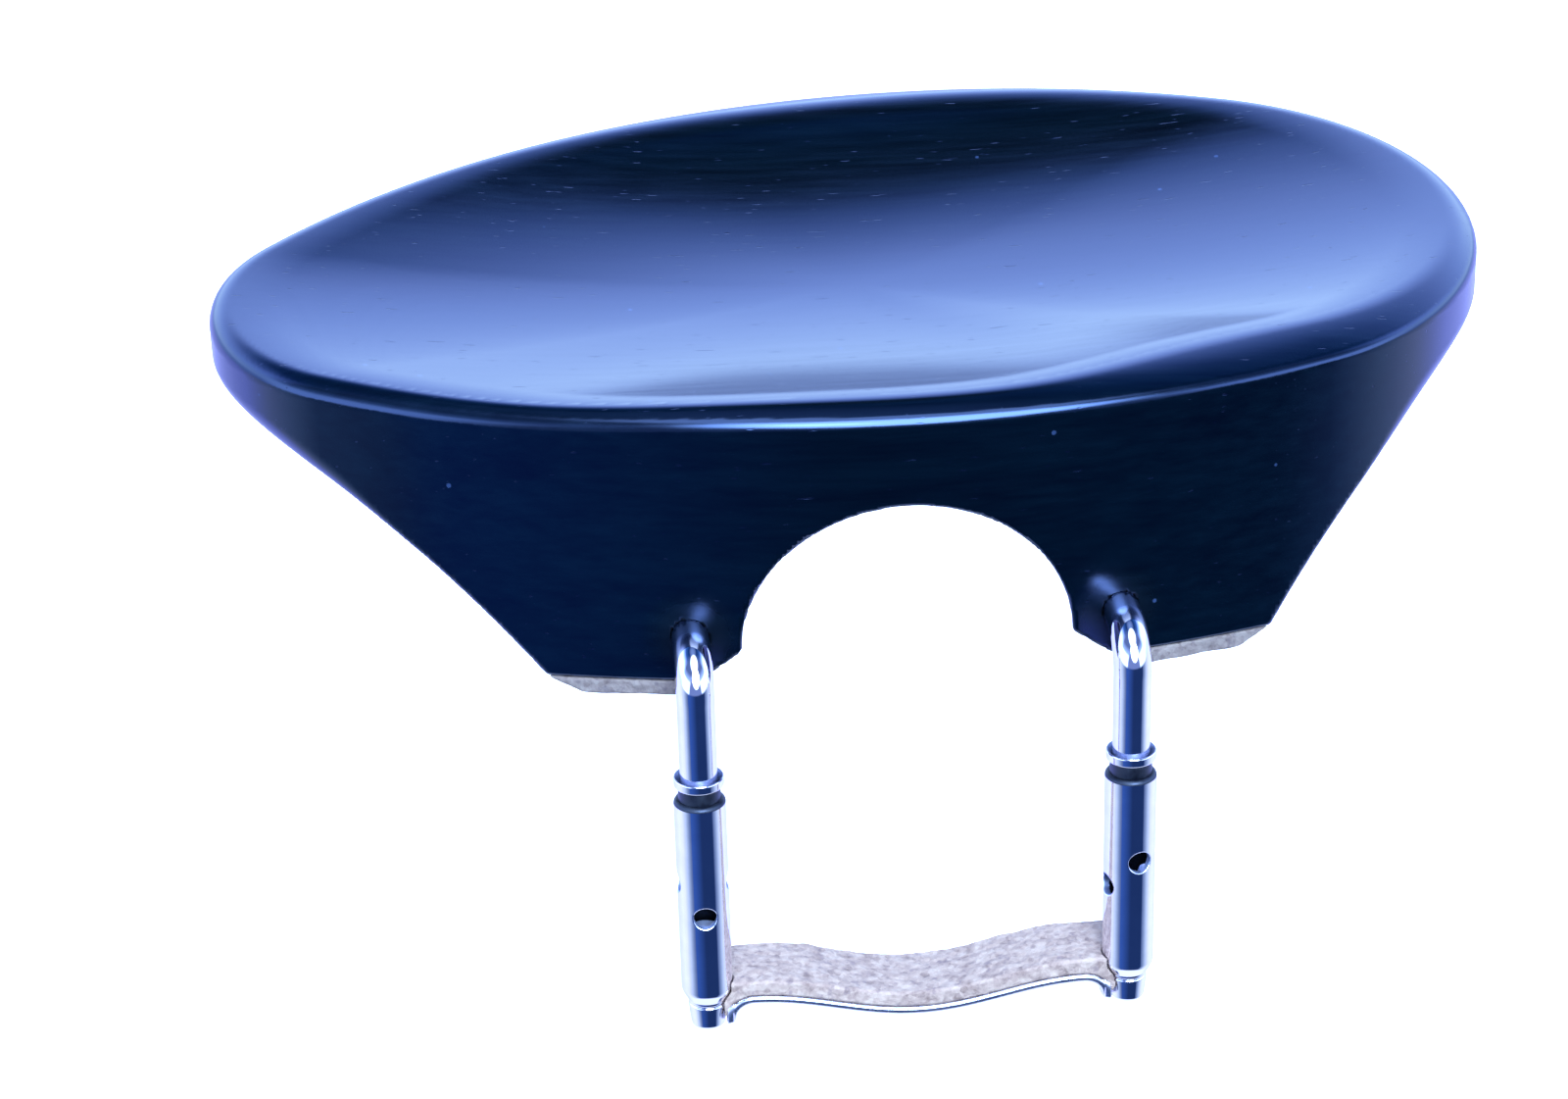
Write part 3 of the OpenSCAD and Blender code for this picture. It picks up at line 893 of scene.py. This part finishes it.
# The camera, in millimetres and degrees
CAMERA_TARGET = (-11.57, -3.0, 17.1)
CAMERA_DISTANCE = 312.0
CAMERA_TURN = -4.1
CAMERA_CLIMB = 24.81
CAMERA_ROLL = -1.64
CAMERA_LENS = 80.47


def towards(turn, climb):
    """A direction: turned from the front towards the right, and raised, in degrees."""
    turn, climb = math.radians(turn), math.radians(climb)
    return (math.sin(turn) * math.cos(climb), -math.cos(turn) * math.cos(climb), math.sin(climb))


def sky_disc(nodes, direction, axis, reach, edge):
    """1 inside a round patch of the sky, fading to 0 across its edge."""
    patch = nodes.add("ShaderNodeVectorMath", operation="DOT_PRODUCT")
    nodes.link(direction, patch.inputs[0])
    patch.inputs[1].default_value = axis
    inner, outer = (math.cos(math.radians(angle)) for angle in (reach, reach + edge))
    return nodes.span(patch.outputs["Value"], outer, inner)


def low_light(nodes, axes):
    """Light from below the horizon: dark in front, bright at the sides, behind and straight below."""
    flat = nodes.math("SUBTRACT", 1.0, nodes.math("MULTIPLY", axes["Z"], axes["Z"]))
    flat = nodes.math("SQRT", flat, 0.0)
    front = nodes.span(nodes.math("DIVIDE", axes["Y"], flat), 1, -1)
    front = nodes.math("ADD", front, nodes.span(axes["X"], 0.0, 1.0, 0.0, 0.06))
    rightward = nodes.span(axes["X"], -0.6, 0.0)
    dark = nodes.ramp(rightward, (0.0, (0.004, 0.012, 0.050)), (1.0, (0.0014, 0.004, 0.0155)))
    bright = nodes.ramp(
        front, (0.0, (0.082, 0.098, 0.25)), (0.33, (0.105, 0.125, 0.32)), (0.5, (0.098, 0.115, 0.18)),
        (0.67, (0.058, 0.078, 0.115)), (0.78, (0.024, 0.036, 0.066)), (0.835, (0.012, 0.02, 0.045)))
    round_about = nodes.mix(nodes.span(front, 0.835, 0.86), bright, dark)
    return nodes.mix(nodes.span(axes["Z"], -0.78, -0.88), round_about, (0.11, 0.135, 0.19))


def high_light(nodes, direction, axes):
    """Light from above the horizon: a bright belt low behind, gloom overhead and softboxes in front."""
    belt = nodes.ramp(
        axes["Z"], (0.0, (0.074, 0.114, 0.24)), (0.13, (0.10, 0.15, 0.30)), (0.21, (0.18, 0.26, 0.40)),
        (0.42, (0.175, 0.255, 0.46)), (0.53, (0.15, 0.22, 0.44)), (0.62, (0.125, 0.18, 0.37)),
        (0.70, (0.07, 0.11, 0.25)), (0.77, (0.03, 0.058, 0.15)), (0.83, (0.005, 0.017, 0.06)),
        (0.95, (0.0005, 0.004, 0.02)), (1.0, (0.02, 0.035, 0.08)))
    far_corner = nodes.mix(sky_disc(nodes, direction, towards(172, 58), 4, 5), belt, (0.0005, 0.001, 0.003))
    strip = nodes.ramp(
        axes["Z"], (0.0, (0.10, 0.14, 0.22)), (0.08, (0.22, 0.31, 0.52)), (0.33, (0.22, 0.31, 0.50)),
        (0.45, (0.05, 0.08, 0.16)), (0.65, (0.012, 0.02, 0.05)), (1.0, (0.012, 0.02, 0.05)))
    front_gloom = nodes.mix(nodes.span(axes["Y"], -0.05, -0.3), far_corner, strip)
    shaded = nodes.mix(sky_disc(nodes, direction, towards(0, 0), 34, 8), front_gloom, (0.02, 0.03, 0.07))
    high_box = nodes.mix(sky_disc(nodes, direction, towards(5, 64), 16, 6), shaded, (0.25, 0.34, 0.50))
    return nodes.mix(sky_disc(nodes, direction, towards(8, 34), 14, 8), high_box, (1.2, 1.7, 2.4))


def make_world():
    """A soft studio, whose light takes its colour and strength from the direction it comes from."""
    world = bpy.data.worlds.new("studio")
    bpy.context.scene.world = world
    world.use_nodes = True
    nodes = Nodes(world.node_tree)
    direction = nodes.add("ShaderNodeTexCoord").outputs["Generated"]
    split = nodes.add("ShaderNodeSeparateXYZ")
    nodes.link(direction, split.inputs["Vector"])
    axes = split.outputs
    above = nodes.span(axes["Z"], -0.03, 0.03)
    light = nodes.mix(above, low_light(nodes, axes), high_light(nodes, direction, axes))
    strong = nodes.add("ShaderNodeVectorMath", operation="SCALE")
    nodes.link(light, strong.inputs[0])
    strong.inputs["Scale"].default_value = SKY_STRENGTH
    camera_ray = nodes.add("ShaderNodeLightPath").outputs["Is Camera Ray"]
    colour = nodes.mix(camera_ray, strong.outputs["Vector"], BACKDROP)
    nodes.link(colour, world.node_tree.nodes["Background"].inputs["Color"])


def area_light(name, centre, target, size, watts):
    """A rectangular lamp, turned towards its target."""
    light = bpy.data.lights.new(name, "AREA")
    light.shape = "RECTANGLE"
    light.size, light.size_y = size
    light.energy = watts
    light.color = LAMP_COLOUR
    lamp = bpy.data.objects.new(name, light)
    lamp.location = Vector(centre)
    lamp.rotation_mode = "QUATERNION"
    lamp.rotation_quaternion = (Vector(target) - Vector(centre)).to_track_quat("-Z", "Y")
    bpy.context.scene.collection.objects.link(lamp)
    return lamp


def make_floor(height):
    """A plain pale floor well below the part, which can be seen through from below."""
    mesh = bpy.data.meshes.new("floor")
    half = 4.0
    corners = [(x * half, y * half, height) for x, y in ((-1, -1), (1, -1), (1, 1), (-1, 1))]
    mesh.from_pydata(corners, [], [(0, 1, 2, 3)])
    floor = bpy.data.objects.new("floor", mesh)
    bpy.context.scene.collection.objects.link(floor)
    material, nodes, shader = new_material("pale_floor")
    shade = nodes.noise(nodes.place((3, 3, 3)), detail=2)
    tone = nodes.ramp(shade, (0.3, (0.90, 0.90, 0.90)), (0.7, (0.93, 0.93, 0.93)))
    nodes.link(tone, shader.inputs["Base Color"])
    shader.inputs["Roughness"].default_value = 0.9
    shader.inputs["Emission Color"].default_value = (1, 1, 1, 1)
    shader.inputs["Emission Strength"].default_value = 0.7
    clear = nodes.add("ShaderNodeBsdfTransparent")
    both = nodes.add("ShaderNodeMixShader")
    nodes.link(nodes.add("ShaderNodeNewGeometry").outputs["Backfacing"], both.inputs["Fac"])
    nodes.link(shader.outputs["BSDF"], both.inputs[1])
    nodes.link(clear.outputs["BSDF"], both.inputs[2])
    nodes.link(both.outputs["Shader"], material.node_tree.nodes["Material Output"].inputs["Surface"])
    mesh.materials.append(material)
    floor.visible_glossy = False
    floor.visible_diffuse = False
    return floor


def make_camera():
    """The first view: a long lens, above the front and slightly to the left, tilted a little."""
    target = Vector(CAMERA_TARGET) * MM
    distance = CAMERA_DISTANCE * MM
    roll = math.radians(CAMERA_ROLL)
    back = Vector(towards(CAMERA_TURN, CAMERA_CLIMB))
    right = (-back).cross(Vector((0, 0, 1))).normalized()
    up = right.cross(-back)
    tilted_right = math.cos(roll) * right + math.sin(roll) * up
    tilted_up = -math.sin(roll) * right + math.cos(roll) * up
    data = bpy.data.cameras.new("camera")
    data.sensor_width = 36.0
    data.lens = CAMERA_LENS
    data.clip_start = 0.01
    data.clip_end = 20.0
    camera = bpy.data.objects.new("camera", data)
    axes = Matrix((tilted_right, tilted_up, back)).transposed().to_4x4()
    axes.translation = target + back * distance
    camera.matrix_world = axes
    bpy.context.scene.collection.objects.link(camera)
    bpy.context.scene.camera = camera


# ---------------------------------------------------------------- the scene

def build_pieces():
    """Makes every piece and sets it riding in place of its CAD node."""
    wood = ebony()
    metal = chrome("chrome", 0.0)
    satin = chrome("bracket_chrome", 0.22)
    # Painted shade: near-black steel in the bores
    bore = dull_and_shaded_steel("bore_shade_steel", 0.015)
    thread_metal = dull_and_shaded_steel("thread_steel", 0.5, 0.3)
    mouth = dull_and_shaded_steel("mouth_steel", 0.42)
    # Painted shade: dark steel in the groove under each collar's ring and on each barrel's shoulder under
    # its collar
    groove = dull_and_shaded_steel("groove_shade_steel", 0.06)
    key_wall = dull_and_shaded_steel("key_steel", 0.6)
    foot_cork = cork("foot_cork", (0.33, 0.33, 0.33))
    clamp_cork = cork("clamp_cork", (0.65, 0.59, 0.53))
    solid("chin_rest_plate", plate_shape, *box_mm("chin_plate"), PLATE_STEP, "chin_rest", "chin_plate",
          wood, "ebony")
    for name, side in SIDES.items():
        pad = "foot_cork_" + name
        solid("foot_pad_" + name, foot_cork_shape(name), *box_mm(pad), CORK_STEP, "chin_rest", pad,
              foot_cork, "cork")
        hook = "hook_" + name
        solid("clamp_hook_" + name, hook_shape(side), *box_mm(hook), HOOK_STEP, "chin_rest", hook,
              metal, "chrome")
        ring = "barrel_collar_" + name
        solid("clamp_collar_" + name, collar_shape(side), *box_mm(ring), COLLAR_STEP,
              "collar_" + name, ring, metal, "chrome", (mouth, groove), collar_parts)
        barrel = "barrel_" + name
        solid("clamp_barrel_" + name, barrel_shape(side, KEY_TURN[name]), *box_mm(barrel), BARREL_STEP,
              "turnbuckle_" + name, barrel, metal, "chrome", (bore, key_wall, groove), barrel_parts)
        stud = "bracket_stud_" + name
        solid("clamp_stud_" + name, stud_shape(side), *box_mm(stud), STUD_STEP, "bracket", stud,
              metal, "chrome", (thread_metal,), in_barrel)
    solid("clamp_plate", bracket_shape, PLATE_LOW, PLATE_HIGH, BRACKET_STEP, "bracket", "bracket_plate",
          satin, "chrome")
    solid("clamp_pad", bracket_cork_shape, *box_mm("bracket_cork"), CORK_STEP, "bracket", "bracket_cork",
          clamp_cork, "cork")


bpy.context.scene.view_settings.view_transform = "Standard"
make_camera()
make_world()
make_floor((STUD_LOW[2] - FLOOR_DROP) * MM)
area_light("front_flash", (-0.02, -1.1, 0.75), (0, 0, 0.01), (0.2, 0.25), 3.0)
fill = area_light("fill", (-0.05, -0.8, 0.8), (0, 0, -0.02), (0.5, 0.3), 6.0)
fill.data.color = FILL_COLOUR
fill.visible_glossy = False
build_pieces()
